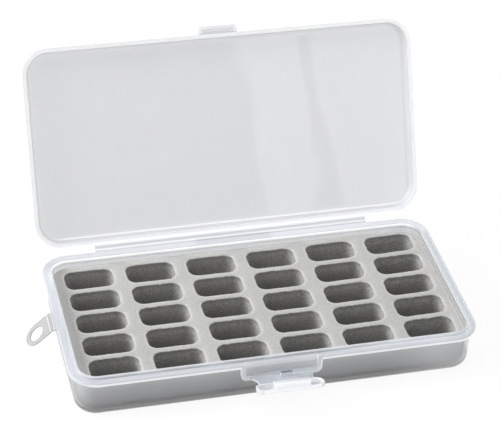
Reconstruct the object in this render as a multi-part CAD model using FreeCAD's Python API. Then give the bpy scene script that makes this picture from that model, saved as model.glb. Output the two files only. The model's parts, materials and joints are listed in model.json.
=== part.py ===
import FreeCAD, Part
import math
import os

# A flat hinged box of thin moulded plastic that holds sewing bobbins on edge in a foam insert.
# X runs along the box, Y from the latch at the front to the hinge at the back, Z up.
# The origin is the middle of the base's underside. All sizes are in millimetres and degrees.

# Outline shared by the base's rim and the lid, which reach out further by a margin on the hinge side
box_length = 180.0
box_depth = 89.5
hinge_margin = 0.7
corner_radius = 12.0

# Base tray
base_height = 21.35
rim_overhang = 2.3
rim_height = 1.6
wall_thickness = 1.8
floor_thickness = 1.5
base_edge_radius = 4.8
lip_width = 1.3
lip_height = 1.05
lip_stop = 8.0
lip_runout = 6.0
rim_rounding = 0.4

# Foam insert with its grid of pockets
foam_thickness = 15.7
foam_clearance = 0.25
pocket_columns = 6
pocket_rows = 5
pocket_pitch_x = 27.9
pocket_pitch_y = 15.5
pocket_length = 21.7
pocket_width = 12.5
pocket_radius = 4.0
pocket_depth = 13.7

# Lid, built shut and then turned open
lid_depth = 6.0
lid_wall = 1.7
lid_panel = 1.2
lid_draft = 0.6
lid_edge_radius = 3.2
lid_seat_gap = 0.3
lid_open_angle = 115.2

# Living hinge of the lid, between two stiff strips on the back edges
hinge_setback = 2.2
hinge_drop = 1.0
hinge_length = 127.4
hinge_thickness = 0.5
strip_reach = 1.3
strip_thickness = 1.2

# Catch on the lid's front edge
catch_width = 16.2
catch_reach = 3.1
catch_rise = 2.0
catch_height = 2.2
catch_wall = 1.0
catch_recess = 1.2
catch_gusset = 0.7

# Latch frame on the base's front: two ears and the bar between them
ear_gap = 31.8
ear_width = 1.8
ear_bottom = 12.0
ear_radius = 2.4
bar_height = 2.4
bar_thickness = 1.2

# Latch flap on a living hinge
latch_setback = 0.6
latch_level = 13.6
latch_rest_angle = 17.0
latch_thickness = 0.8
latch_web_thickness = 0.4
latch_root_width = 27.8
latch_neck_width = 24.2
latch_neck_start = 5.2
latch_shoulder_curve = 0.75
latch_pull_width = 29.4
latch_pull_depth = 1.4
latch_pull_start = 7.8
latch_pull_radius = 3.2
latch_pull_straight = 0.4
latch_rib = 1.0
latch_rib_height = 0.5
hook_width = 15.6
hook_length = 3.4
hook_height = 3.0
hook_clearance = 0.5
boss_clearance = 0.5
boss_length = 2.0
boss_height = 2.4
boss_narrow = 4.4
boss_wide = 6.6
boss_offset = 1.2

# Hang tab on the left end
tab_width = 11.8
tab_thickness = 0.8
tab_hole_radius = 3.7
tab_hole_distance = 8.2
tab_droop = 42.0
tab_stub = 1.3
tab_setback = 0.6
tab_web_thickness = 0.4

# Levels and insets that follow from the sizes above
flange_top = base_height - lip_height
rim_bottom = flange_top - rim_height
inside_inset = rim_overhang + wall_thickness
inside_edge_radius = base_edge_radius - wall_thickness
foam_top = floor_thickness + foam_thickness
front = -box_depth / 2
back = box_depth / 2 + hinge_margin
left = -box_length / 2
lid_seat = flange_top + lid_seat_gap
hinge_axis = FreeCAD.Vector(0, back + hinge_setback, (flange_top + lid_seat) / 2)
latch_axis = FreeCAD.Vector(0, front - latch_setback, latch_level)
tab_level = flange_top - tab_thickness / 2
tab_axis = FreeCAD.Vector(left - tab_stub - tab_setback, 0, tab_level)
bar_top = ear_bottom + bar_height

# The hook swings past the shut catch's top corner, and the boss past the bar's front edge
catch_bottom = lid_seat + catch_rise
catch_top = catch_bottom + catch_height
hook_start = math.hypot(catch_reach - latch_setback, catch_top - latch_level) + hook_clearance
latch_length = hook_start + hook_length
boss_start = math.hypot(latch_setback, bar_top - latch_level) + boss_clearance

x_axis = FreeCAD.Vector(1, 0, 0)
y_axis = FreeCAD.Vector(0, 1, 0)
z_axis = FreeCAD.Vector(0, 0, 1)


def box(x_range, y_range, z_range):
    low = FreeCAD.Vector(x_range[0], y_range[0], z_range[0])
    return Part.makeBox(x_range[1] - x_range[0], y_range[1] - y_range[0], z_range[1] - z_range[0], low)


def rounded_outline(length, depth, radius, z, centre_x=0, centre_y=0):
    # A rectangle with round corners, as one closed wire, counter-clockwise from the front right corner
    diagonal = radius * math.sqrt(0.5)
    corner_x = length / 2 - radius
    corner_y = depth / 2 - radius
    edges = []
    ends = []
    for turn in range(4):
        start = math.radians(90 * turn - 90)
        sign_x = 1 if turn in (0, 1) else -1
        sign_y = 1 if turn in (1, 2) else -1
        middle = FreeCAD.Vector(centre_x + sign_x * corner_x, centre_y + sign_y * corner_y, z)
        first = middle + FreeCAD.Vector(math.cos(start), math.sin(start), 0) * radius
        halfway = middle + FreeCAD.Vector(sign_x, sign_y, 0) * diagonal
        last = middle + FreeCAD.Vector(-math.sin(start), math.cos(start), 0) * radius
        edges.append(Part.Arc(first, halfway, last).toShape())
        ends.append((first, last))
    sides = [Part.makeLine(ends[k][1], ends[(k + 1) % 4][0]) for k in range(4)]
    return Part.Wire([edge for pair in zip(edges, sides) for edge in pair])


def box_outline(inset, z, margin):
    # The box's outline, moved in by an inset, and out again by a margin on the hinge side
    length = box_length - 2 * inset
    depth = box_depth - 2 * inset + margin
    return rounded_outline(length, depth, corner_radius - inset, z, 0, margin / 2)


def rounded_block(inset, z_low, z_high, margin=0):
    return Part.Face(box_outline(inset, z_low, margin)).extrude(z_axis * (z_high - z_low))


def tapered_block(low_inset, high_inset, z_low, z_high, margin=0):
    wires = [box_outline(low_inset, z_low, margin), box_outline(high_inset, z_high, margin)]
    return Part.makeLoft(wires, True, True)


def round_level(solid, radius, z):
    # Fillets every edge that lies flat at one height
    edges = [edge for edge in solid.Edges if all(abs(point.z - z) < 1e-6 for point in edge.discretize(3))]
    return solid.makeFillet(radius, edges)


def base_tray():
    wall = round_level(rounded_block(rim_overhang, 0, flange_top), base_edge_radius, 0)
    rim = rounded_block(0, rim_bottom, flange_top, hinge_margin)
    rim = round_level(rim, rim_rounding, flange_top)
    rim = rim.cut(rounded_block(rim_overhang, rim_bottom, flange_top))
    lip = rounded_block(inside_inset - lip_width, flange_top, base_height)
    lip = round_level(lip, rim_rounding, base_height).cut(lip_gap())
    hollow = rounded_block(inside_inset, floor_thickness, base_height)
    hollow = round_level(hollow, inside_edge_radius, floor_thickness)
    tray = wall.fuse([rim, lip]).cut(hollow)
    strip = hinge_strip(hinge_axis.z - hinge_drop)
    tray = tray.fuse([latch_frame(), tab_stub_block(), strip])
    return tray.cut(latch_window()).removeSplitter()


def lip_gap():
    # The lip slopes down to the rim on both ends of the box and leaves the hinge side free
    stop = box_depth / 2 - lip_stop
    corners = [(stop - lip_runout, base_height), (stop, flange_top)]
    corners += [(back, flange_top), (back, base_height + lip_height)]
    ring = [FreeCAD.Vector(left, y, z) for y, z in corners + corners[:1]]
    return Part.Face(Part.makePolygon(ring)).extrude(x_axis * box_length)


def hinge_strip(level):
    # A stiff strip along a back edge, for the thin web to run out of
    half = hinge_length / 2
    levels = (level - strip_thickness / 2, level + strip_thickness / 2)
    return box((-half, half), (back - lid_wall / 2, back + strip_reach), levels)


def latch_frame():
    # Two ears hang from the rim and a thin bar joins them in front of the wall
    half = ear_gap / 2 + ear_width
    frame = box((-half, half), (front, front + rim_overhang), (ear_bottom, flange_top - rim_rounding))
    corners = [edge for edge in frame.Edges if is_frame_corner(edge)]
    return frame.makeFillet(ear_radius, corners)


def is_frame_corner(edge):
    first, last = [vertex.Point for vertex in edge.Vertexes]
    return abs(first.y - last.y) > rim_overhang / 2 and abs(first.z - ear_bottom) < 1e-6


def latch_window():
    # Above the bar the rim is cut back to the wall, and behind the bar there is a slot
    across = (-ear_gap / 2, ear_gap / 2)
    above = box(across, (front, front + rim_overhang), (bar_top, base_height))
    behind = box(across, (front + bar_thickness, front + rim_overhang), (ear_bottom, bar_top))
    return above.fuse(behind)


def tab_stub_block():
    half = tab_width / 2
    return box((left - tab_stub, left + rim_overhang), (-half, half), (flange_top - tab_thickness, flange_top))


def foam_insert():
    inset = inside_inset + foam_clearance
    foam = rounded_block(inset, floor_thickness, foam_top)
    foam = round_level(foam, inside_edge_radius + 2 * foam_clearance, floor_thickness)
    pockets = []
    for column in range(pocket_columns):
        for row in range(pocket_rows):
            x = (column - (pocket_columns - 1) / 2) * pocket_pitch_x
            y = (row - (pocket_rows - 1) / 2) * pocket_pitch_y
            outline = rounded_outline(pocket_length, pocket_width, pocket_radius, foam_top - pocket_depth, x, y)
            pockets.append(Part.Face(outline).extrude(z_axis * pocket_depth))
    return foam.cut(pockets)


def lid():
    top = lid_seat + lid_depth
    shell = round_level(tapered_block(0, lid_draft, lid_seat, top, hinge_margin), lid_edge_radius, top)
    ceiling = top - lid_panel
    hollow = tapered_block(lid_wall, lid_wall + lid_draft, lid_seat, ceiling, hinge_margin)
    hollow = round_level(hollow, lid_edge_radius - lid_panel, ceiling)
    strip = hinge_strip(hinge_axis.z + hinge_drop)
    shut = shell.cut(hollow).fuse([lid_catch(), strip]).removeSplitter()
    shut.rotate(hinge_axis, x_axis, -lid_open_angle)
    return shut


def lid_catch():
    # A tongue on the front edge, hollow on the side that faces down when shut, with a gusset at each end
    half = catch_width / 2
    tip = front - catch_reach
    root = front + lid_wall / 2
    low = catch_bottom
    levels = (low, catch_top)
    tongue = box((-half, half), (tip, root), levels)
    recess = box((catch_wall - half, half - catch_wall), (tip + catch_wall, front), (low, low + catch_recess))
    pieces = []
    for side in (-1, 1):
        foot = FreeCAD.Vector(side * half, front, low)
        points = [foot, foot + x_axis * side * catch_gusset, FreeCAD.Vector(side * half, tip, low), foot]
        pieces.append(Part.Face(Part.makePolygon(points)).extrude(z_axis * catch_height))
    pieces.append(box((-half - catch_gusset, half + catch_gusset), (front, root), levels))
    return tongue.cut(recess).fuse(pieces)


def latch():
    # Drawn flat, with its axis as X and its length along -Y, then turned up to where it rests
    plate = latch_plate().extrude(z_axis * -latch_thickness)
    pull = pull_outline(0).extrude(z_axis * (latch_rib_height + latch_pull_depth))
    pull.translate(z_axis * -latch_pull_depth)
    tray = pull_outline(latch_rib).extrude(z_axis * latch_rib_height)
    hook = box((-hook_width / 2, hook_width / 2), (-latch_length, -hook_start), (0, hook_height))
    flap = plate.fuse(pull).cut(tray).fuse([hook, latch_boss()]).removeSplitter()
    flap.rotate(FreeCAD.Vector(), x_axis, -latch_rest_angle)
    flap.translate(latch_axis)
    return flap


def latch_plate():
    # The flap's shoulders curve in from the hinge to the neck
    root = -latch_setback
    neck = -latch_neck_start
    end = -hook_start
    wide = latch_root_width / 2
    slim = latch_neck_width / 2
    bulge = (wide - slim) * latch_shoulder_curve
    edges = []
    for side in (1, -1):
        shoulder = FreeCAD.Vector(side * wide, root, 0)
        waist = FreeCAD.Vector(side * slim, neck, 0)
        bend = FreeCAD.Vector(side * (wide - bulge), (root + neck) / 2, 0)
        edges.append(Part.Arc(shoulder, bend, waist).toShape())
        edges.append(Part.makeLine(waist, FreeCAD.Vector(side * slim, end, 0)))
    edges.append(Part.makeLine(FreeCAD.Vector(-wide, root, 0), FreeCAD.Vector(wide, root, 0)))
    edges.append(Part.makeLine(FreeCAD.Vector(-slim, end, 0), FreeCAD.Vector(slim, end, 0)))
    return Part.Face(Part.Wire(Part.__sortEdges__(edges)))


def pull_outline(inset):
    # The finger pull at the flap's end, with the same middle for every inset
    depth = latch_length - latch_pull_start
    radius = min(latch_pull_radius, (depth - latch_pull_straight) / 2)
    middle = -(latch_length + latch_pull_start) / 2
    outline = rounded_outline(latch_pull_width - 2 * inset, depth - 2 * inset, radius - inset, 0, 0, middle)
    return Part.Face(outline)


def latch_boss():
    # A short wedge beside the hinge, a little to the right of the middle
    start = -boss_start
    end = start - boss_length
    narrow = boss_narrow / 2
    wide = boss_wide / 2
    foot = [(-narrow, start), (narrow, start), (wide, end), (-wide, end)]
    ring = [FreeCAD.Vector(x, y, 0) for x, y in foot + foot[:1]]
    block = Part.Face(Part.makePolygon(ring)).extrude(z_axis * boss_height)
    slope = [FreeCAD.Vector(-wide, start - boss_length / 2, boss_height)]
    slope.append(FreeCAD.Vector(-wide, end, boss_height))
    slope.append(FreeCAD.Vector(-wide, end, boss_height / 8))
    cutter = Part.Face(Part.makePolygon(slope + slope[:1])).extrude(x_axis * boss_wide)
    wedge = block.cut(cutter)
    wedge.translate(x_axis * boss_offset)
    return wedge


def hang_tab():
    # Drawn level, pointing along -X from its axis, then turned down to where it droops
    half = tab_width / 2
    strip = box((-tab_hole_distance, -tab_setback), (-half, half), (-tab_thickness / 2, tab_thickness / 2))
    middle = FreeCAD.Vector(-tab_hole_distance, 0, -tab_thickness / 2)
    tab = strip.fuse(Part.makeCylinder(half, tab_thickness, middle))
    tab = tab.cut(Part.makeCylinder(tab_hole_radius, tab_thickness, middle)).removeSplitter()
    tab.rotate(FreeCAD.Vector(), y_axis, -tab_droop)
    tab.translate(tab_axis)
    return tab


def hinge_web(axis, outward_turn, length, setback, level, thickness, turn):
    # A thin strip that bends between two faces, each one setback away from the hinge's axis.
    # It is drawn with the flap pointing along +Y, and its arc is centred where the two faces meet.
    half = length / 2
    centre = FreeCAD.Vector(0, -setback, setback / math.tan(math.radians(turn) / 2))
    low = level - thickness / 2
    high = level + thickness / 2
    corners = [(-half, low), (half, low), (half, high), (-half, high), (-half, low)]
    face = Part.Face(Part.makePolygon([FreeCAD.Vector(x, -setback, z) for x, z in corners]))
    web = face.revolve(centre, x_axis * math.copysign(1, turn), abs(turn))
    web.rotate(FreeCAD.Vector(), z_axis, outward_turn)
    web.translate(axis)
    return web


def lid_hinge_web():
    setback = hinge_setback - strip_reach
    return hinge_web(hinge_axis, 0, hinge_length, setback, -hinge_drop, hinge_thickness, 180 - lid_open_angle)


def latch_hinge_web():
    level = -latch_web_thickness / 2
    return hinge_web(
        latch_axis, 180, latch_root_width, latch_setback, level, latch_web_thickness, latch_rest_angle
    )


def tab_hinge_web():
    return hinge_web(tab_axis, 90, tab_width, tab_setback, 0, tab_web_thickness, -tab_droop)


os.makedirs("parts", exist_ok=True)
nodes = [base_tray, foam_insert, lid, lid_hinge_web, latch, latch_hinge_web, hang_tab, tab_hinge_web]
for node in nodes:
    shape = node()
    shape.exportStep("parts/" + node.__name__ + ".step")
    print(node.__name__, len(shape.Solids), "solid, valid", shape.isValid(), "volume", round(shape.Volume, 1))
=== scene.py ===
import bpy
import json
import math
from mathutils import Matrix, Vector, noise


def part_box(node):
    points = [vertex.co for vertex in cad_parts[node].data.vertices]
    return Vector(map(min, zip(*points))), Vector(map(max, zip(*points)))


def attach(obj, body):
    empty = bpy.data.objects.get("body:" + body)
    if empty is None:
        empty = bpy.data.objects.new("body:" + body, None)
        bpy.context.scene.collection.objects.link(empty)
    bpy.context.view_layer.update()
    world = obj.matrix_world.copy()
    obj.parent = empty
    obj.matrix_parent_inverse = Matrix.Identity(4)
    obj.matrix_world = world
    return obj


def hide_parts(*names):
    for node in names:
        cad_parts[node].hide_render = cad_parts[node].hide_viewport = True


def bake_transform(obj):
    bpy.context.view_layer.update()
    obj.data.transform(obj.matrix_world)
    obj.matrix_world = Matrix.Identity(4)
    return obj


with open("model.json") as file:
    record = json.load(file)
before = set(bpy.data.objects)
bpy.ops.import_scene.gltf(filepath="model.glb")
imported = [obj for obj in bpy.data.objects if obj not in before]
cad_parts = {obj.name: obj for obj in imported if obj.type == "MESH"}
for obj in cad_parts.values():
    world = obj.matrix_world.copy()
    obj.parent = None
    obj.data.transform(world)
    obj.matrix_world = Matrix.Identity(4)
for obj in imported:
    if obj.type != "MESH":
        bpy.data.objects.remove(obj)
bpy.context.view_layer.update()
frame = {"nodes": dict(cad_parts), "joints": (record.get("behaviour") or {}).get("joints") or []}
nodes = frame["nodes"]
joints = {joint["name"]: joint for joint in frame["joints"]}
mm = 0.001
weld = 0.001 * mm
smoothAngle = math.radians(40)
print("stage: frame loaded,", len(nodes), "nodes")


# Small helpers for modelling as by hand
def deselectAll():
    if bpy.context.object and bpy.context.object.mode != "OBJECT":
        bpy.ops.object.mode_set(mode="OBJECT")
    bpy.ops.object.select_all(action="DESELECT")


def pick(obj):
    deselectAll()
    obj.select_set(True)
    bpy.context.view_layer.objects.active = obj


def editing(obj, kind="VERT"):
    pick(obj)
    bpy.ops.object.mode_set(mode="EDIT")
    bpy.ops.mesh.select_mode(type=kind)
    bpy.ops.mesh.select_all(action="DESELECT")


def longEdges(obj, least):
    # selects the edges longer than a length, and stays in edit mode
    bpy.ops.object.mode_set(mode="OBJECT")
    mesh = obj.data
    for items in (mesh.vertices, mesh.edges, mesh.polygons):
        for item in items:
            item.select = False
    for edge in mesh.edges:
        first, second = [mesh.vertices[index].co for index in edge.vertices]
        edge.select = (first - second).length > least
    bpy.ops.object.mode_set(mode="EDIT")


def applyAll(obj):
    pick(obj)
    for modifier in list(obj.modifiers):
        bpy.ops.object.modifier_apply(modifier=modifier.name)


def paint(obj, *materials):
    obj.data.materials.clear()
    for material in materials:
        obj.data.materials.append(material)


# Shader maths: a Wire is one socket, and sums and products of wires add Math nodes
class Wire:
    def __init__(self, tree, socket=None):
        self.tree = tree
        self.socket = socket

    def node(self, kind, settings=None, values=None, out=0):
        made = self.tree.nodes.new("ShaderNode" + kind)
        for key, value in (settings or {}).items():
            setattr(made, key, value)
        for key, value in (values or {}).items():
            if isinstance(value, Wire):
                self.tree.links.new(value.socket, made.inputs[key])
            else:
                made.inputs[key].default_value = value
        return Wire(self.tree, made.outputs[out])

    def math(self, operation, first, second=0.0):
        return self.node("Math", {"operation": operation}, {0: first, 1: second})

    def __add__(self, other):
        return self.math("ADD", self, other)

    def __radd__(self, other):
        return self.math("ADD", other, self)

    def __sub__(self, other):
        return self.math("SUBTRACT", self, other)

    def __rsub__(self, other):
        return self.math("SUBTRACT", other, self)

    def __mul__(self, other):
        return self.math("MULTIPLY", self, other)

    def __truediv__(self, other):
        return self.math("DIVIDE", self, other)

    def __abs__(self):
        return self.math("ABSOLUTE", self)

    def larger(self, other):
        return self.math("MAXIMUM", self, other)

    def smaller(self, other):
        return self.math("MINIMUM", self, other)

    def rise(self, low, high):
        # 0 below low, 1 above high, smooth between
        values = {"Value": self, "From Min": low, "From Max": high}
        return self.node("MapRange", {"interpolation_type": "SMOOTHSTEP"}, values)

    def between(self, low, high, soft):
        return self.rise(low - soft, low + soft) * (1.0 - self.rise(high - soft, high + soft))

    def blend(self, first, second):
        # two colours mixed by this wire
        return self.node("Mix", {"data_type": "RGBA"}, {0: self, 6: first, 7: second}, 2)

    def mix(self, first, second):
        # two numbers mixed by this wire
        return self.node("Mix", {"data_type": "FLOAT"}, {0: self, 2: first, 3: second})

    def parts(self):
        split = self.node("SeparateXYZ", None, {0: self}).socket.node
        return [Wire(self.tree, out) for out in split.outputs]


def newMaterial(name):
    material = bpy.data.materials.new(name)
    material.use_nodes = True
    tree = material.node_tree
    surface = tree.nodes["Principled BSDF"]
    start = Wire(tree)
    place = start.node("TexCoord", out="Object")
    return material, start, surface, place


def plug(start, surface, **values):
    names = {"color": "Base Color", "rough": "Roughness", "alpha": "Alpha", "normal": "Normal"}
    names["glow"] = "Emission Color"
    for key, wire in values.items():
        start.tree.links.new(wire.socket, surface.inputs[names[key]])


def cloud(place, scale, detail):
    return place.node("TexNoise", None, {"Vector": place, "Scale": scale, "Detail": detail})


def grey(value, tint=(1.0, 1.0, 1.0)):
    return (value * tint[0], value * tint[1], value * tint[2], 1.0)


def insetFrom(x, y, shape):
    # how far a point lies inside a rectangle with round corners
    radius = shape["corner"]
    overX = abs(x) - (shape["length"] / 2 - radius)
    overY = abs(y - shape.get("middleY", 0.0)) - (shape["depth"] / 2 - radius)
    reachX = overX.larger(0.0)
    reachY = overY.larger(0.0)
    away = x.math("SQRT", reachX * reachX + reachY * reachY)
    return radius - away - overX.larger(overY).smaller(0.0)


# Translucent moulded plastic. Marks say where it is tinted, solid or polished, where painted shade darkens
# it, where a painted highlight makes it paler, and where a painted glow (an emission) stands in for the
# light that the plastic carries along inside its edges
plasticLook = {
    "color": grey(0.80, (0.975, 0.99, 1.03)),
    "cloudy": grey(0.84, (0.98, 0.995, 1.025)),
    "tint": grey(0.77, (0.95, 0.985, 1.055)),
    # the colours of painted shade, of a painted highlight and of the painted glow, and the glow's strength
    # at a highlight
    "shade": grey(0.2, (1.0, 0.985, 0.98)),
    "highlight": grey(0.97, (0.99, 1.0, 1.01)),
    "light": grey(1.0, (0.98, 1.0, 1.03)),
    "glow": 0.16,
    "alpha": 0.36,
    "solidAlpha": 0.62,
    "haze": 0.05,
    "rough": 0.26,
    "roughSpread": 0.06,
    "polish": 0.015,
    "polishSpread": 0.02,
    "polishSmooths": 0.97,
    "flowScale": 22.0,
    "grainScale": 2600.0,
    "grain": 0.01 * mm,
    "grainStrength": 0.15,
    "waveScale": 13.0,
    "wave": 0.035 * mm,
    "ior": 1.49,
}


def mouldedPlastic(name, look, marking):
    material, start, surface, place = newMaterial(name)
    flow = cloud(place, look["flowScale"], 3.0)
    grain = cloud(place, look["grainScale"], 2.0)
    wave = cloud(place, look["waveScale"], 1.0)
    marks = marking(*place.parts())
    color = flow.rise(0.3, 0.7).blend(look["color"], look["cloudy"])
    for mark in ("tint", "shade", "highlight"):
        if mark in marks:
            color = marks[mark].blend(color, look[mark])
    # painted glow: an emission where the plastic is marked bright, and more faintly where it has a painted
    # highlight
    light = marks["bright"].larger(marks["highlight"] * look["glow"])
    glow = light.blend(grey(0.0), look["light"])
    alpha = marks["solid"].mix(look["alpha"] + (flow - 0.5) * look["haze"], look["solidAlpha"])
    rough = look["rough"] + (grain + flow - 1.0) * look["roughSpread"]
    if "polish" in marks:
        # a polished area is smooth and nearly without grain
        rough = marks["polish"].mix(rough, look["polish"] + (flow - 0.5) * look["polishSpread"])
        grain = grain * (1.0 - marks["polish"] * look["polishSmooths"])
    waves = start.node("Bump", None, {"Strength": 1.0, "Distance": look["wave"], "Height": wave})
    texture = {"Strength": look["grainStrength"], "Distance": look["grain"], "Height": grain}
    skin = start.node("Bump", None, dict(texture, Normal=waves))
    plug(start, surface, color=color, rough=rough, alpha=alpha, glow=glow, normal=skin)
    surface.inputs["IOR"].default_value = look["ior"]
    surface.inputs["Emission Strength"].default_value = 1.0
    return material


def strongest(areas, levels):
    # the largest of some areas, each at its own level
    result = None
    for name, level in levels.items():
        area = areas[name] if level == 1.0 else areas[name] * level
        result = area if result is None else result.larger(area)
    return result


def marksFrom(areas, levels):
    return {mark: strongest(areas, own) for mark, own in levels.items()}


# Base tray. A pair of lengths is where an area begins to show and where it shows fully
tray = {
    "length": 180.0 * mm,
    "depth": 89.5 * mm,
    "corner": 12.0 * mm,
    "margin": 0.7 * mm,
    "rimBottom": 18.7 * mm,
    "flangeTop": 20.3 * mm,
    "lipOuter": 2.8 * mm,
    "lipInner": 4.1 * mm,
    "wallInset": 2.3 * mm,
    "earSide": 15.9 * mm,
    "earWidth": 1.8 * mm,
    "earBottom": 12.0 * mm,
    "barTop": 14.4 * mm,
    "rear": (34 * mm, 40 * mm),
    "right": (45 * mm, 85 * mm),
    "rightLip": (76 * mm, 82 * mm),
    "rightEdge": (82 * mm, 86 * mm),
    "shadedRightInside": (70 * mm, 82 * mm),
    "rightStep": (18 * mm, 50 * mm),
    "sides": (14 * mm, 30 * mm),
    "leftRim": (-86 * mm, -80 * mm),
    "leftHem": (-87 * mm, -80 * mm),
    "backFlange": (-60 * mm, 10 * mm),
    # how strongly painted shade or a painted highlight shows, and a pair is at the left and at the right
    "lowerShade": (0.33, 0.07),
    "backShade": (0.244, 0.07),
    "hemEnds": (0.25, 1.0),
    "hemInFrame": 0.4,
    "lipInFront": 0.45,
    "lipRightLoss": 0.8,
}
# painted light on the tray: how strongly each area shows painted shade, painted highlights and painted
# glow, besides its tint and opacity
trayLevels = {
    "tint": {"rim": 1.0, "frame": 1.0, "window": 0.6},
    "shade": {
        "foot": 1.0,
        "lowerShade": 1.0,
        "backRim": 1.0,
        "grooveShade": 0.435,
        "shadedRightInside": 0.827,
        "barFace": 0.39,
        "ledge": 0.26,
        "stub": 0.226,
        "middleStep": 0.13,
        "rightEdge": 0.14,
    },
    "highlight": {"lip": 1.0, "hem": 1.0, "earLine": 1.0, "upper": 0.5, "stubEnd": 0.6, "backInside": 0.35},
    "bright": {
        "hem": 0.34,
        "ears": 0.2,
        "earLine": 0.42,
        "frame": 0.17,
        "window": 0.16,
        "upper": 0.27,
        "rightWall": 0.17,
        "upperWall": 0.08,
        "backLip": 0.34,
        "leftRim": 0.05,
        "rightStep": 0.17,
    },
    "solid": {"rim": 1.0, "foot": 1.0, "frame": 1.0, "window": 0.8},
}


def latchFrameAreas(x, y, z, inset, rim, inFrame):
    # the two ears with the bar between them, and the wall that shows in their window; the ears and the
    # window get a painted glow and highlight, and the bar's top face and the ledge above the window
    # painted shade
    across = abs(x)
    side, bottom, barTop = tray["earSide"], tray["earBottom"], tray["barTop"]
    outer = side + tray["earWidth"]
    wallFace = tray["wallInset"] - tray["depth"] / 2
    front = 1.0 - y.rise(wallFace - 0.3 * mm, wallFace)
    frameFace = front * inFrame * z.rise(bottom - 0.3 * mm, bottom - 0.1 * mm) * (1.0 - rim)
    ears = frameFace * across.rise(side - 0.2 * mm, side)
    window = (1.0 - across.rise(side, side + 0.1 * mm)) * (1.0 - y.rise(-41 * mm, -40.5 * mm))
    window = window * (1.0 - inset.rise(2.2 * mm, 2.6 * mm) * rim)
    window = window * z.rise(12 * mm, 13 * mm) * (1.0 - frameFace)
    top = tray["flangeTop"]
    return {
        "frame": frameFace,
        "ears": ears,
        "earLine": ears * across.rise(outer - 0.4 * mm, outer - 0.2 * mm),
        "barFace": frameFace * (1.0 - ears) * z.rise(barTop - 0.2 * mm, barTop - 0.1 * mm),
        "window": window,
        "upper": window * z.rise(16.7 * mm, 17.5 * mm),
        "ledge": window * z.rise(top - 0.2 * mm, top - 0.1 * mm),
    }


def rimAreas(x, z, inset, rim, rear, inFrame):
    # a raised lip runs along the inside of the rim, and a hem along its outside; both get a painted
    # highlight, and the hem a painted glow
    low, top = tray["rimBottom"], tray["flangeTop"]
    onTop = z.rise(top - 0.15 * mm, top)
    lip = inset.between(tray["lipOuter"] + 0.4 * mm, tray["lipInner"] + 0.2 * mm, 0.15 * mm)
    lip = lip * onTop * rear.mix(tray["lipInFront"], 1.0)
    lip = lip * (1.0 - x.rise(*tray["rightLip"]) * (1.0 - rear) * tray["lipRightLoss"])
    backEdge = inset.between(3.1 * mm, 4.4 * mm, 0.15 * mm) * z.rise(top - 0.7 * mm, top - 0.6 * mm)
    lip = lip.larger(backEdge * rear)
    hem = (1.0 - inset.rise(0.2 * mm, 0.5 * mm)) * z.between(low - 0.2 * mm, top - 0.35 * mm, 0.15 * mm)
    hem = hem * inFrame.mix(1.0, tray["hemInFrame"]) * x.rise(*tray["leftHem"]).mix(*tray["hemEnds"])
    # in front of the lip the flange gets painted shade in the middle, and a painted glow to the right
    step = inset.between(1.9 * mm, 3.1 * mm, 0.3 * mm) * onTop * (1.0 - rear)
    # painted glow at the left end and on the back lip, and painted shade along the back and the right edge
    return {
        "lip": lip,
        "backLip": lip * rear,
        "hem": hem,
        "rightStep": step * x.rise(*tray["rightStep"]),
        "middleStep": step * (1.0 - abs(x).rise(*tray["sides"])),
        "rightEdge": x.rise(*tray["rightEdge"]) * (1.0 - inset.rise(1.0 * mm, 1.8 * mm)) * rim,
        "leftRim": rim * (1.0 - x.rise(*tray["leftRim"])),
        "backRim": rim * rear * x.rise(*tray["backFlange"]).mix(*tray["backShade"]),
    }


def trayMarks(x, y, z):
    inset = insetFrom(x, y, tray)
    rim = z.rise(tray["rimBottom"] - 0.25 * mm, tray["rimBottom"])
    rear = y.rise(*tray["rear"])
    right = x.rise(*tray["right"])
    outer = tray["earSide"] + tray["earWidth"]
    inFrame = 1.0 - abs(x).rise(outer, outer + 0.1 * mm)
    areas = latchFrameAreas(x, y, z, inset, rim, inFrame)
    areas.update(rimAreas(x, z, inset, rim, rear, inFrame))
    areas["rim"] = rim
    # painted shade darkens the strip along the hinge and the stub of the tab, and a painted highlight
    # brightens the stub's end
    back = tray["depth"] / 2 + tray["margin"]
    areas["grooveShade"] = y.rise(back + 0.1 * mm, back + 0.3 * mm)
    areas["stub"] = (1.0 - x.rise(-90.5 * mm, -90.1 * mm)) * (1.0 - abs(y).rise(6 * mm, 6.2 * mm))
    areas["stubEnd"] = areas["stub"] * (1.0 - x.rise(-91.0 * mm, -90.8 * mm))
    # painted shade: lower down the walls and at the foot they turn greyer, and the right end's inner wall
    # is darkened; a painted highlight lightens the back's inner wall
    lowerShade = (1.0 - z.rise(1 * mm, 17 * mm)) * right.mix(*tray["lowerShade"])
    areas["lowerShade"] = lowerShade * (1.0 - areas["window"])
    areas["foot"] = 1.0 - z.rise(4.2 * mm, 6.2 * mm)
    inside = inset.rise(3.95 * mm, 4.05 * mm) * (1.0 - z.rise(20.3 * mm, 20.6 * mm))
    areas["shadedRightInside"] = inside * x.rise(*tray["shadedRightInside"])
    areas["backInside"] = inside * rear
    # painted glow brightens the front wall towards the right and near its top
    wall = (1.0 - y.rise(-39 * mm, -38 * mm)) * (1.0 - rim)
    areas["rightWall"] = wall * right
    areas["upperWall"] = wall * z.rise(13 * mm, 18.5 * mm)
    marks = marksFrom(areas, trayLevels)
    marks["bright"] = marks["bright"] * (1.0 - areas["ledge"].larger(areas["barFace"]))
    return marks


trayPlastic = mouldedPlastic("trayPlastic", plasticLook, trayMarks)
paint(nodes["base_tray"], trayPlastic)

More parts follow.
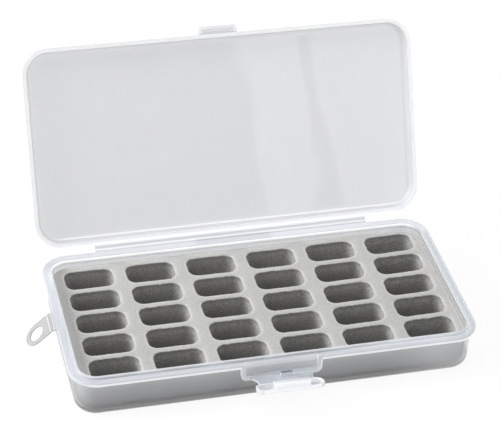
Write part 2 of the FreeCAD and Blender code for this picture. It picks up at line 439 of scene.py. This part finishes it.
# Lid, whose marks are placed as on the shut lid
lid = {
    "length": 180.0 * mm,
    "depth": 90.2 * mm,
    "middleY": 0.35 * mm,
    "corner": 12.0 * mm,
    "seat": 20.6 * mm,
    "ceiling": 25.4 * mm,
    "hingeSide": (36 * mm, 40 * mm),
    "hingeEnds": (77 * mm, 84 * mm),
    "panel": (3.6 * mm, 4.6 * mm),
}
# painted light on the lid: painted shade on the wall along the hinge, and painted highlights and glow on
# the seat, the seam, the strip, the band and the catch's walls
lidLevels = {
    "tint": {"skirt": 1.0},
    "shade": {"hingeWall": 0.6},
    "highlight": {"seat": 1.0, "seam": 1.0, "strip": 1.0, "catchWall": 0.6},
    "bright": {"band": 0.34, "strip": 0.4, "catchWall": 0.09},
    "solid": {"seat": 1.0, "skirt": 0.7, "wall": 0.4, "catchWall": 1.0},
    "polish": {"panel": 1.0},
}
lidLook = dict(plasticLook, alpha=0.37, glow=0.22)
lidLook["color"] = grey(0.76, (0.98, 0.99, 1.03))
lidLook["cloudy"] = grey(0.79, (0.98, 0.99, 1.03))
lidLook["shade"] = grey(0.55, (0.98, 0.985, 1.03))
lidLook["waveScale"] = 17.0
lidLook["wave"] = 0.42 * mm


def shutPlace(y, z):
    joint = joints["lid_hinge"]
    turn = math.radians(joint["range_deg"][1])
    axisY, axisZ = joint["pos_m"][1:]
    awayY, awayZ = y - axisY, z - axisZ
    shutY = awayY * math.cos(turn) - awayZ * math.sin(turn) + axisY
    shutZ = awayY * math.sin(turn) + awayZ * math.cos(turn) + axisZ
    return shutY, shutZ


def lidMarks(x, y, z):
    shutY, shutZ = shutPlace(y, z)
    inset = insetFrom(x, shutY, lid)
    seat, ceiling = lid["seat"], lid["ceiling"]
    back = lid["middleY"] + lid["depth"] / 2
    front = lid["middleY"] - lid["depth"] / 2
    hingeSide = shutY.rise(*lid["hingeSide"]) * (1.0 - abs(x).rise(*lid["hingeEnds"]))
    seatFace = 1.0 - shutZ.rise(seat + 0.1 * mm, seat + 0.5 * mm)
    wall = inset.between(1.5 * mm, 3.0 * mm, 0.2 * mm) * shutZ.rise(seat + 0.4 * mm, seat + 0.8 * mm)
    underPanel = shutZ.rise(24 * mm, 24.4 * mm) * (1.0 - shutZ.rise(ceiling, ceiling + 0.2 * mm))
    # the strip at the hinge, and the catch with its walls round a recess, both with a painted highlight
    # and glow
    stripEnd = 1.0 - shutY.rise(back + 0.3 * mm, back + 1.5 * mm)
    catch = 1.0 - shutY.rise(front - 0.4 * mm, front - 0.2 * mm)
    areas = {
        "seat": seatFace,
        "skirt": (1.0 - inset.rise(0.9 * mm, 1.5 * mm)) * (1.0 - catch),
        "wall": wall,
        "hingeWall": wall * hingeSide,
        "seam": inset.between(2.5 * mm, 3.3 * mm, 0.2 * mm) * underPanel * hingeSide,
        "strip": shutY.rise(back - 0.1 * mm, back + 0.1 * mm) * stripEnd,
        "band": seatFace * hingeSide * shutY.rise(back - 1.5 * mm, back - 0.6 * mm),
        "catchWall": catch * (1.0 - shutZ.rise(22.7 * mm, 22.9 * mm)),
        "panel": inset.rise(*lid["panel"]),
    }
    return marksFrom(areas, lidLevels)


lidPlastic = mouldedPlastic("lidPlastic", lidLook, lidMarks)
paint(nodes["lid"], lidPlastic)
print("stage: tray and lid")

# Latch flap and hang tab: copies with rounded edges, which catch the light; the rounded edges also take a
# paler material, a painted highlight
flap = {
    "edge": 0.22 * mm,
    "steps": 2,
    "flatAngle": 1.0,
    "edgeAngle": 35.0,
    "rest": 17.0,
    "skew": 0.05,
    "hookStart": 11.6 * mm,
    "pullStart": 7.6 * mm,
    "pullMiddle": 11.6 * mm,
    "pullEnd": 15.1 * mm,
    "bossMiddle": 1.2 * mm,
    "recess": {"length": 27.4 * mm, "depth": 5.6 * mm, "corner": 2.2 * mm},
}
# painted light on the latch flap: painted shade on the boss's top, and painted highlights and glow on the
# hook, the pull's border, its floor and its rim
flapLevels = {
    "tint": {"bossFoot": 1.0},
    "shade": {"bossTop": 1.0},
    "highlight": {"rimFace": 1.0, "border": 0.6, "hook": 0.4, "floor": 0.25},
    "bright": {"rimFace": 0.34, "border": 0.1, "hook": 0.06},
    "solid": {"rimFace": 1.0, "bossTop": 1.0, "border": 0.6, "hook": 0.4, "floor": 0.25},
}
tab = {
    "rest": 42.0,
    "rootLine": (1.0 * mm, 1.2 * mm),
}
tabLevels = {
    "highlight": {"line": 0.7},
    "bright": {"line": 0.06},
    "solid": {"line": 1.0},
}
flapLook = dict(plasticLook, alpha=0.55, solidAlpha=0.7, glow=0.1)
flapLook["color"] = grey(0.67, (0.935, 0.985, 1.065))
flapLook["cloudy"] = grey(0.71, (0.94, 0.985, 1.06))
flapLook["shade"] = grey(0.16)
# the rounded edges' paler colour is a painted highlight
edgeHighlightLook = dict(plasticLook, alpha=0.8, color=grey(0.93), cloudy=grey(0.97), tint=flapLook["color"])
tabLook = dict(plasticLook, alpha=0.6)
tabLook["color"] = grey(0.47, (0.985, 0.99, 1.02))
tabLook["cloudy"] = grey(0.515, (0.985, 0.99, 1.02))
# the tab's rounded edges are paler too, a painted highlight
tabEdgeHighlightLook = dict(tabLook, alpha=0.7, color=grey(0.55), cloudy=grey(0.6))


def flapPlace(y, z):
    # how far along the flap from its hinge, and how high above its face
    axisY, axisZ = joints["latch_hinge"]["pos_m"][1:]
    turn = math.radians(flap["rest"])
    awayY, awayZ = y - axisY, z - axisZ
    along = awayZ * math.sin(turn) - awayY * math.cos(turn)
    above = awayY * math.sin(turn) + awayZ * math.cos(turn)
    return along, above


def flapMarks(x, y, z):
    along, above = flapPlace(y, z)
    hookStart, pullStart, pullEnd = flap["hookStart"], flap["pullStart"], flap["pullEnd"]
    recess = insetFrom(x - along * flap["skew"], along - flap["pullMiddle"], flap["recess"])
    besideBoss = abs(x - flap["bossMiddle"]).rise(4.2 * mm, 4.6 * mm)
    bossFoot = (1.0 - besideBoss) * (1.0 - above.rise(0.4 * mm, 0.6 * mm))
    areas = {
        "hook": above.rise(0.55 * mm, 0.75 * mm) * along.rise(hookStart, hookStart + 0.2 * mm),
        "border": along.rise(pullStart, pullStart + 0.3 * mm) * (1.0 - recess.rise(-0.1 * mm, 0.1 * mm)),
        "floor": along.rise(pullStart + 0.4 * mm, pullStart + 0.8 * mm),
        "rimFace": along.rise(pullEnd, pullEnd + 0.2 * mm),
        "bossTop": above.rise(1.75 * mm, 1.95 * mm) * (1.0 - along.rise(3.0 * mm, 3.2 * mm)),
        "bossFoot": bossFoot * along.between(0.9 * mm, 6 * mm, 0.2 * mm),
    }
    return marksFrom(areas, flapLevels)


def flapEdgeMarks(x, y, z):
    # a painted highlight and glow on the boss's upright edges, with no painted shade there
    marks = flapMarks(x, y, z)
    along, above = flapPlace(y, z)
    upright = above.between(0.6 * mm, 2.1 * mm, 0.1 * mm) * along.between(1.0 * mm, 4.2 * mm, 0.2 * mm)
    marks["shade"] = marks["shade"] * (1.0 - upright)
    marks["highlight"] = marks["highlight"].larger(upright)
    marks["bright"] = marks["bright"].larger(upright * 0.3)
    return marks


def tabMarks(x, y, z):
    # a painted highlight line where the tab begins
    axis = Vector(joints["hang_tab_hinge"]["pos_m"])
    turn = math.radians(tab["rest"])
    along = (axis.x - x) * math.cos(turn) + (axis.z - z) * math.sin(turn)
    return marksFrom({"line": 1.0 - along.rise(*tab["rootLine"])}, tabLevels)


def roundedCopy(node, name, face, edge, skew=0.0):
    piece = bpy.data.objects.new(name, nodes[node].data.copy())
    bpy.context.scene.collection.objects.link(piece)
    editing(piece)
    bpy.ops.mesh.select_all(action="SELECT")
    bpy.ops.mesh.remove_doubles(threshold=weld)
    bpy.ops.mesh.dissolve_limited(angle_limit=math.radians(flap["flatAngle"]))
    bpy.ops.object.mode_set(mode="OBJECT")
    rounding = piece.modifiers.new("rounding", "BEVEL")
    rounding.width = flap["edge"]
    rounding.segments = flap["steps"]
    rounding.limit_method = "ANGLE"
    rounding.angle_limit = math.radians(flap["edgeAngle"])
    rounding.use_clamp_overlap = False
    # the rounded edges take the second material, whose paler colour is a painted highlight
    rounding.material = 1
    paint(piece, face, edge)
    applyAll(piece)
    # the flap hangs a little askew on its thin hinge
    for v in piece.data.vertices:
        v.co.x += skew * flapPlace(v.co.y, v.co.z)[0]
    bpy.ops.object.shade_smooth_by_angle(angle=smoothAngle)
    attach(piece, node)
    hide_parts(node)


flapPlastic = mouldedPlastic("flapPlastic", flapLook, flapMarks)
flapEdgeHighlight = mouldedPlastic("flapEdgeHighlight", edgeHighlightLook, flapEdgeMarks)
tabPlastic = mouldedPlastic("tabPlastic", tabLook, tabMarks)
tabEdgeHighlight = mouldedPlastic("tabEdgeHighlight", tabEdgeHighlightLook, tabMarks)
roundedCopy("latch", "latch_flap", flapPlastic, flapEdgeHighlight, flap["skew"])
roundedCopy("hang_tab", "tab_flap", tabPlastic, tabEdgeHighlight)
print("stage: flaps")

# Living hinges: thin strips swept round an arc at each joint, bent to the angle given for it
webs = {
    "lid_hinge_web": {
        "joint": "lid_hinge",
        "across": (1, 0, 0),
        "outward": (0, 1, 0),
        "turn": 64.8,
        "length": 127.4 * mm,
        "thickness": 0.5 * mm,
        "setback": 0.9 * mm,
        "level": -1.0 * mm,
    },
    "latch_hinge_web": {
        "joint": "latch_hinge",
        "across": (-1, 0, 0),
        "outward": (0, -1, 0),
        "turn": flap["rest"],
        "length": 27.8 * mm,
        "thickness": 0.4 * mm,
        "setback": 0.6 * mm,
        "level": -0.2 * mm,
    },
    "tab_hinge_web": {
        "joint": "hang_tab_hinge",
        "across": (0, 1, 0),
        "outward": (-1, 0, 0),
        "turn": -tab["rest"],
        "length": 11.8 * mm,
        "thickness": 0.4 * mm,
        "setback": 0.6 * mm,
        "level": 0.0,
    },
}
webSteps = 12
webLevels = {
    "tint": {"latch": 1.0},
    "shade": {"crease": 0.11, "tab": 0.55},
    "highlight": {"bead": 0.45},
    "bright": {"crease": 0.11},
    "solid": {"lid": 1.0, "tab": 1.0},
}
webLook = dict(plasticLook, alpha=0.6, glow=0.2)


def webMarks(x, y, z):
    # the lid's web gets a painted highlight as a bead at the tray and painted shade, with a faint glow, as
    # a crease at the lid; painted shade greys the tab's web
    lidSide = y.rise(40 * mm, 41 * mm)
    bead = y.between(47.1 * mm, 47.95 * mm, 0.1 * mm)
    areas = {
        "lid": lidSide,
        "bead": lidSide * bead,
        "crease": lidSide * (1.0 - bead),
        "latch": 1.0 - y.rise(-41 * mm, -40 * mm),
        "tab": 1.0 - x.rise(-85 * mm, -84 * mm),
    }
    return marksFrom(areas, webLevels)


def bentWeb(node, web):
    joint = joints[web["joint"]]
    outward, across, up = Vector(web["outward"]), Vector(web["across"]), Vector((0, 0, 1))
    turn = math.radians(web["turn"])
    root = Vector(joint["pos_m"]) - outward * web["setback"]
    begin = root + up * web["level"]
    middle = root + up * (web["setback"] / math.tan(turn / 2))
    end = Matrix.Rotation(turn, 3, across) @ (begin - middle) + middle
    deselectAll()
    bpy.ops.mesh.primitive_plane_add(size=1)
    piece = bpy.context.object
    piece.name = node.replace("web", "strip")
    sides = Matrix((across * web["length"], up * web["thickness"], outward)).transposed().to_4x4()
    piece.data.transform(Matrix.Translation(begin) @ sides)
    editing(piece, "FACE")
    bpy.ops.mesh.select_all(action="SELECT")
    bpy.ops.mesh.spin(steps=webSteps, angle=-turn, center=middle, axis=across)
    bpy.ops.mesh.select_all(action="SELECT")
    bpy.ops.mesh.remove_doubles(threshold=weld)
    bpy.ops.mesh.normals_make_consistent(inside=False)
    bpy.ops.object.mode_set(mode="OBJECT")
    bpy.ops.object.shade_smooth_by_angle(angle=smoothAngle)
    paint(piece, webPlastic)
    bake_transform(piece)
    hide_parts(node)


webPlastic = mouldedPlastic("webPlastic", webLook, webMarks)
for node, web in webs.items():
    bentWeb(node, web)
print("stage: hinges")


# Foam: a die-cut block, one pocket modelled and repeated
foam = {
    "columns": 6,
    "rows": 5,
    "pitchX": 27.9 * mm,
    "pitchY": 15.5 * mm,
    "pocketLength": 21.7 * mm,
    "pocketWidth": 12.5 * mm,
    "pocketCorner": 4.0 * mm,
    "pocketDepth": 13.7 * mm,
    "cornerSteps": 8,
    "longCuts": 27,
    "shortCuts": 8,
    "lipSteps": 4,
    "wallSteps": 6,
    "floorInset": 0.5 * mm,
    "floorDrop": 0.1 * mm,
    "shiftX": 0.4 * mm,
    "shiftY": -0.5 * mm,
    "lip": 0.5 * mm,
    "outerCorner": 7.65 * mm,
    "topMargin": 1.0 * mm,
    "sideLevels": (4 * mm, 8 * mm),
    "footRadius": 3.5 * mm,
    "seed": 7,
    "ragged": 0.3 * mm,
    "raggedRear": 1.3,
    "raggedElsewhere": 0.6,
    "uneven": 0.1 * mm,
    "strayX": (-0.2 * mm, 0.6 * mm),
    "strayY": 0.9 * mm,
    "strayFrom": 12.0 * mm,
    "strayOver": 58.0 * mm,
    "strayPower": 1.6,
}
foamLook = {
    "top": (grey(0.57, (1.0, 0.995, 0.97)), grey(0.61, (1.0, 0.995, 0.975))),
    # a painted highlight round the pockets' mouths
    "ring": grey(0.672, (1.0, 1.0, 0.985)),
    "wall": (grey(0.37, (1.0, 0.99, 0.965)), grey(0.62, (1.0, 0.99, 0.97))),
    "seam": grey(0.66),
    # painted shade deeper in the pockets and under the rear mouths
    "deepShade": grey(0.37, (1.0, 0.99, 0.97)),
    "browShade": grey(0.33, (1.0, 0.99, 0.97)),
    # painted light on the block's side at the right end
    "litRightSkirt": grey(0.8, (1.0, 1.0, 0.985)),
    "speck": (grey(0.76), grey(1.0)),
    "speckStrength": 0.6,
    "cellScale": 1500.0,
    "blotchScale": 60.0,
    "streakScale": 2100.0,
    "streakTurn": (0.0, 0.3, 0.0),
    "streakStretch": (0.4, 0.4, 1.0),
    "poreScale": 1700.0,
    "bump": 0.12 * mm,
    "bumpStrength": 0.6,
    "rough": 0.9,
    "roughSpread": 0.1,
    "specular": 0.15,
}
foamLow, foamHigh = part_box("foam_insert")


def pocketCell():
    top = foamHigh.z
    lip = foam["lip"]
    deselectAll()
    bpy.ops.mesh.primitive_plane_add(size=1, location=(0, 0, top))
    cell = bpy.context.object
    cell.name = "pocketCell"
    cell.scale = (foam["pocketLength"] + 2 * lip, foam["pocketWidth"] + 2 * lip, 1)
    bpy.ops.object.transform_apply(location=True, rotation=True, scale=True)
    editing(cell)
    bpy.ops.mesh.select_all(action="SELECT")
    bpy.ops.mesh.bevel(affect="VERTICES", offset=foam["pocketCorner"] + lip, segments=foam["cornerSteps"])
    # the long straight sides are divided first, then the short ones
    longEdges(cell, 10 * mm)
    bpy.ops.mesh.select_mode(type="EDGE")
    bpy.ops.mesh.subdivide(number_cuts=foam["longCuts"])
    longEdges(cell, 2 * mm)
    bpy.ops.mesh.subdivide(number_cuts=foam["shortCuts"])
    # the mouth rolls over the lip, then the wall goes straight down
    bpy.ops.mesh.select_mode(type="FACE")
    bpy.ops.mesh.select_all(action="SELECT")
    steps = foam["lipSteps"]
    for k in range(steps):
        before, after = [math.radians(90 * (k + j) / steps) for j in (0, 1)]
        inward = lip * (math.sin(after) - math.sin(before))
        down = lip * (math.cos(before) - math.cos(after))
        bpy.ops.mesh.inset(thickness=inward, depth=-down)
    drop = (foam["pocketDepth"] - lip) / foam["wallSteps"]
    for k in range(foam["wallSteps"]):
        bpy.ops.mesh.extrude_region_move(TRANSFORM_OT_translate={"value": (0, 0, -drop)})
    bpy.ops.mesh.inset(thickness=foam["floorInset"], depth=-foam["floorDrop"])
    # the flat top runs out to the cell's straight sides
    bpy.ops.mesh.select_all(action="SELECT")
    bpy.ops.mesh.region_to_loop()
    bpy.ops.mesh.extrude_edges_move()
    bpy.ops.object.mode_set(mode="OBJECT")
    halfX, halfY = foam["pitchX"] / 2, foam["pitchY"] / 2
    ring = [v for v in cell.data.vertices if v.select]
    for v in ring:
        grow = min(halfX / max(abs(v.co.x), 1e-9), halfY / max(abs(v.co.y), 1e-9))
        v.co.x *= grow
        v.co.y *= grow
    for signX in (-1, 1):
        for signY in (-1, 1):
            corner = Vector((signX * halfX, signY * halfY, top))
            nearest = min(ring, key=lambda v: (v.co - corner).length)
            nearest.co = corner
    return cell


def outline(point, inset):
    # for the foam's outline moved in by an inset: the middle that its round is drawn about,
    # the way out from there to the point, and the radius
    radius = foam["outerCorner"] - inset
    coreX = foamHigh.x - foam["outerCorner"]
    coreY = foamHigh.y - foam["outerCorner"]
    base = Vector((max(-coreX, min(coreX, point.x)), max(-coreY, min(coreY, point.y)), 0))
    away = Vector((point.x, point.y, 0)) - base
    return base, away, radius


def foamBlock():
    block = pocketCell()
    block.name = "foam_pad"
    repeats = (
        (foam["columns"], (foam["pitchX"], 0, 0)),
        (foam["rows"], (0, foam["pitchY"], 0)),
    )
    for count, offset in repeats:
        row = block.modifiers.new("row", "ARRAY")
        row.count = count
        row.use_relative_offset = False
        row.use_constant_offset = True
        row.constant_offset_displace = offset
        row.use_merge_vertices = True
        row.merge_threshold = 0.01 * mm
    applyAll(block)
    startX = -(foam["columns"] - 1) / 2 * foam["pitchX"] + foam["shiftX"]
    startY = -(foam["rows"] - 1) / 2 * foam["pitchY"] + foam["shiftY"]
    block.data.transform(Matrix.Translation((startX, startY, 0)))
    # towards the right end the cuts stray a little to the back
    for v in block.data.vertices:
        stray = max(0.0, (v.co.x - foam["strayFrom"]) / foam["strayOver"])
        v.co.x += foam["strayX"][0] + foam["strayX"][1] * stray
        v.co.y += foam["strayY"] * stray ** foam["strayPower"]
    editing(block)
    bpy.ops.mesh.select_all(action="SELECT")
    bpy.ops.mesh.remove_doubles(threshold=0.02 * mm)
    bpy.ops.mesh.select_mode(type="EDGE")
    bpy.ops.mesh.select_all(action="SELECT")
    bpy.ops.mesh.region_to_loop()
    bpy.ops.object.mode_set(mode="OBJECT")
    for v in block.data.vertices:
        if v.select:
            base, away, radius = outline(v.co, foam["topMargin"])
            if away.length > radius:
                v.co.xy = (base + away.normalized() * radius).xy
    # the outer skirt: over the top edge, down the side, round the foot
    top, low, foot, lip = foamHigh.z, foamLow.z, foam["footRadius"], foam["lip"]
    bends = [math.radians(30 * k) for k in range(4)]
    rings = [(lip * (1 - math.sin(bend)), top - lip * (1 - math.cos(bend))) for bend in bends]
    rings += [(0, top - level) for level in foam["sideLevels"]]
    bends = [math.radians(18 * k) for k in range(6)]
    rings += [(foot * (1 - math.cos(bend)), low + foot * (1 - math.sin(bend))) for bend in bends]
    for inset, level in rings:
        bpy.ops.object.mode_set(mode="EDIT")
        bpy.ops.mesh.extrude_edges_move()
        bpy.ops.object.mode_set(mode="OBJECT")
        for v in block.data.vertices:
            if v.select:
                base, away, radius = outline(v.co, inset)
                v.co = base + away.normalized() * radius
                v.co.z = level
    bpy.ops.object.mode_set(mode="EDIT")
    bpy.ops.mesh.edge_face_add()
    bpy.ops.mesh.select_all(action="SELECT")
    bpy.ops.mesh.normals_make_consistent(inside=False)
    bpy.ops.object.mode_set(mode="OBJECT")
    roughenCuts(block)
    pick(block)
    bpy.ops.object.shade_smooth_by_angle(angle=math.radians(50))
    return block


def roughenCuts(block):
    # the die leaves the mouths ragged, most of all at the back, and the faces a little uneven
    noise.seed_set(foam["seed"])
    top = foamHigh.z
    for v in block.data.vertices:
        at = v.co / (1.0 * mm)
        row = (v.co.y - foam["shiftY"]) / foam["pitchY"] + foam["rows"] / 2
        rear = foam["raggedRear"] if row % 1 > 0.8 else foam["raggedElsewhere"]
        near = max(0.0, 1 - abs(v.co.z - (top - 0.4 * mm)) / (1.4 * mm))
        fine = noise.noise_vector(at * 1.1)
        slow = noise.noise_vector(at * 0.12 + Vector((7, 3, 1)))
        push = fine * near * rear * foam["ragged"] + slow * foam["uneven"]
        if v.co.z > foamLow.z + 0.5 * mm:
            v.co += Vector((push.x, push.y, push.z * 0.3))


def pocketPlace(x, y):
    # where a point lies in its cell of the grid, and how far inside the pocket's outline
    stray = ((x - foam["strayFrom"]) / foam["strayOver"]).larger(0.0)
    gridX = x - foam["shiftX"] - foam["strayX"][0] - stray * foam["strayX"][1]
    gridY = y - foam["shiftY"] - x.math("POWER", stray, foam["strayPower"]) * foam["strayY"]
    # an even number of columns and an odd number of rows, so only the rows are half a cell off
    cellX = (x.math("FRACT", gridX / foam["pitchX"] + 10.0) - 0.5) * foam["pitchX"]
    cellY = (y.math("FRACT", gridY / foam["pitchY"] + 10.5) - 0.5) * foam["pitchY"]
    pocket = {"length": foam["pocketLength"], "depth": foam["pocketWidth"], "corner": foam["pocketCorner"]}
    return cellX, cellY, insetFrom(cellX, cellY, pocket)


def foamMaterial():
    look = foamLook
    material, start, surface, place = newMaterial("cutFoam")
    x, y, z = place.parts()
    cellX, cellY, inset = pocketPlace(x, y)
    depth = foamHigh.z - z
    cells = cloud(place, look["cellScale"], 3.0)
    blotch = cloud(place, look["blotchScale"], 3.0)
    # the cut walls are drawn out sideways by the die
    pulled = {"Vector": place, "Rotation": look["streakTurn"], "Scale": look["streakStretch"]}
    streak = cloud(start.node("Mapping", None, pulled), look["streakScale"], 3.0)
    pores = place.node("TexVoronoi", None, {"Vector": place, "Scale": look["poreScale"]}, "Distance")
    wall = (depth + (cells - 0.5) * 0.7 * mm).rise(0.1 * mm, 0.5 * mm)
    # a painted highlight makes the top paler round the mouths, but not behind them
    ring = inset.rise(-2.0 * mm, -0.3 * mm) * (1.0 - cellY.rise(4.5 * mm, 5.6 * mm)) * (1.0 - wall)
    topColor = ring.blend(blotch.rise(0.3, 0.7).blend(*look["top"]), look["ring"])
    # a wall has a pale line down its middle, and painted shade darkens it as it goes down and under a rear
    # mouth
    seam = abs(cellX - 1.0 * mm + (blotch - 0.5) * 0.8 * mm).rise(0.05 * mm, 0.2 * mm)
    wallColor = (seam * 0.6 + 0.4).blend(look["seam"], streak.rise(0.32, 0.68).blend(*look["wall"]))
    # the painted shade is weaker in the back rows and towards the right
    lighter = y.rise(24 * mm, 30 * mm) * x.rise(-80 * mm, 75 * mm).mix(0.4, 0.9)
    deepShade = depth.rise(2 * mm, 13 * mm) * (1.0 - lighter)
    wallColor = deepShade.blend(wallColor, look["deepShade"])
    browShade = (1.0 - depth.rise(0.6 * mm, 3 * mm)) * cellY.rise(2 * mm, 4 * mm)
    wallColor = browShade.blend(wallColor, look["browShade"])
    # the block's own side shows only at the top, and painted light makes it palest at the right end
    span = foamHigh - foamLow
    outside = {"length": span.x, "depth": span.y, "corner": foam["outerCorner"]}
    skirt = 1.0 - insetFrom(x, y, outside).rise(0.5 * mm, 1.1 * mm)
    skirt = skirt * z.rise(foamHigh.z - 2.5 * mm, foamHigh.z - 1 * mm)
    color = (wall * (1.0 - skirt)).blend(topColor, wallColor)
    color = (skirt * x.rise(60 * mm, 75 * mm)).blend(color, look["litRightSkirt"])
    speck = cells.rise(0.35, 0.65).blend(*look["speck"])
    multiply = {"data_type": "RGBA", "blend_type": "MULTIPLY"}
    color = start.node("Mix", multiply, {0: look["speckStrength"], 6: color, 7: speck}, 2)
    height = wall.mix(cells * 0.6 + pores * 0.4, streak * 0.8 + cells * 0.2)
    relief = {"Strength": look["bumpStrength"], "Distance": look["bump"], "Height": height}
    bump = start.node("Bump", None, relief)
    rough = look["rough"] + (cells - 0.5) * look["roughSpread"]
    plug(start, surface, color=color, rough=rough, normal=bump)
    surface.inputs["Specular IOR Level"].default_value = look["specular"]
    return material


pad = foamBlock()
paint(pad, foamMaterial())
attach(pad, "base")
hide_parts("foam_insert")
print("stage: foam,", len(pad.data.polygons), "faces")


# Camera, solved from the photograph
view = {
    "place": (-193.97 * mm, -678.26 * mm, 573.18 * mm),
    "azimuth": 15.547,
    "elevation": 35.826,
    "roll": 3.024,
    "lens": 146.26,
    "sensor": 36.0,
}


def addCamera():
    azimuth, elevation = math.radians(view["azimuth"]), math.radians(view["elevation"])
    flat = math.cos(elevation)
    ahead = Vector((math.sin(azimuth) * flat, math.cos(azimuth) * flat, -math.sin(elevation)))
    level = ahead.cross(Vector((0, 0, 1))).normalized()
    upright = level.cross(ahead)
    roll = math.radians(view["roll"])
    right = level * math.cos(roll) + upright * math.sin(roll)
    up = upright * math.cos(roll) - level * math.sin(roll)
    turn = Matrix((right, up, -ahead)).transposed()
    data = bpy.data.cameras.new("camera")
    data.sensor_fit = "HORIZONTAL"
    data.sensor_width = view["sensor"]
    data.lens = view["lens"]
    data.clip_start = 0.01
    camera = bpy.data.objects.new("camera", data)
    bpy.context.scene.collection.objects.link(camera)
    camera.matrix_world = Matrix.Translation(view["place"]) @ turn.to_4x4()
    bpy.context.scene.camera = camera


addCamera()


# Pale floor and soft studio light
studio = {
    "floorSize": 8.0,
    "floorDrop": 0.05 * mm,
    "floorLit": 0.09,
    "floorWhite": 0.925,
    "floorPlain": 0.85,
    "worldLight": 0.2,
    "keyLamp": {"at": (-1.5, 0.25, 0.9), "size": (0.8, 0.8), "power": 27.0},
    "overheadLamp": {"at": (0.0, 0.05, 2.0), "size": (1.2, 1.2), "power": 14.6},
    "narrowPane": {"at": (0.3495, -1.2, 0.45), "size": (0.071, 0.7), "power": 0.35, "ahead": (0, 1, 0)},
    "widePane": {"at": (0.7515, -1.2, 0.45), "size": (0.697, 0.7), "power": 3.37, "ahead": (0, 1, 0)},
}


def seenRays(start):
    # 1 for rays that show the white studio: from the camera, reflected or passed through
    outs = start.node("LightPath").socket.node.outputs
    names = ("Is Camera Ray", "Is Glossy Ray", "Is Transmission Ray")
    camera, glossy, passed = [Wire(start.tree, outs[name]) for name in names]
    return camera.larger(glossy).larger(passed)


def addFloor():
    deselectAll()
    bpy.ops.mesh.primitive_plane_add(size=studio["floorSize"], location=(0, 0, -studio["floorDrop"]))
    floor = bpy.context.object
    floor.name = "floor"
    material, start = newMaterial("paleFloor")[:2]
    lit = start.node("BsdfDiffuse", None, {"Color": grey(studio["floorLit"])})
    white = start.node("Emission", None, {"Color": grey(1.0), "Strength": studio["floorWhite"]})
    seen = start.node("AddShader", None, {0: lit, 1: white})
    plain = start.node("BsdfDiffuse", None, {"Color": grey(studio["floorPlain"])})
    both = start.node("MixShader", None, {0: seenRays(start), 1: plain, 2: seen})
    output = start.tree.nodes["Material Output"]
    start.tree.links.new(both.socket, output.inputs["Surface"])
    paint(floor, material)


def addLamp(name):
    lamp = studio[name]
    data = bpy.data.lights.new(name, "AREA")
    data.shape = "RECTANGLE"
    data.size, data.size_y = lamp["size"]
    data.energy = lamp["power"]
    obj = bpy.data.objects.new(name, data)
    bpy.context.scene.collection.objects.link(obj)
    ahead = Vector(lamp.get("ahead", Vector((0, 0, 0.02)) - Vector(lamp["at"])))
    turn = ahead.to_track_quat("-Z", "Y").to_matrix().to_4x4()
    obj.matrix_world = Matrix.Translation(lamp["at"]) @ turn


def addWorld():
    world = bpy.data.worlds.new("studio")
    bpy.context.scene.world = world
    world.use_nodes = True
    tree = world.node_tree
    start = Wire(tree)
    strength = studio["worldLight"] + seenRays(start) * (1.0 - studio["worldLight"])
    background = tree.nodes["Background"]
    background.inputs["Color"].default_value = grey(1.0)
    tree.links.new(strength.socket, background.inputs["Strength"])


addFloor()
for lamp in ("keyLamp", "overheadLamp", "narrowPane", "widePane"):
    addLamp(lamp)
addWorld()
bpy.context.scene.view_settings.view_transform = "Standard"
print("stage: studio")
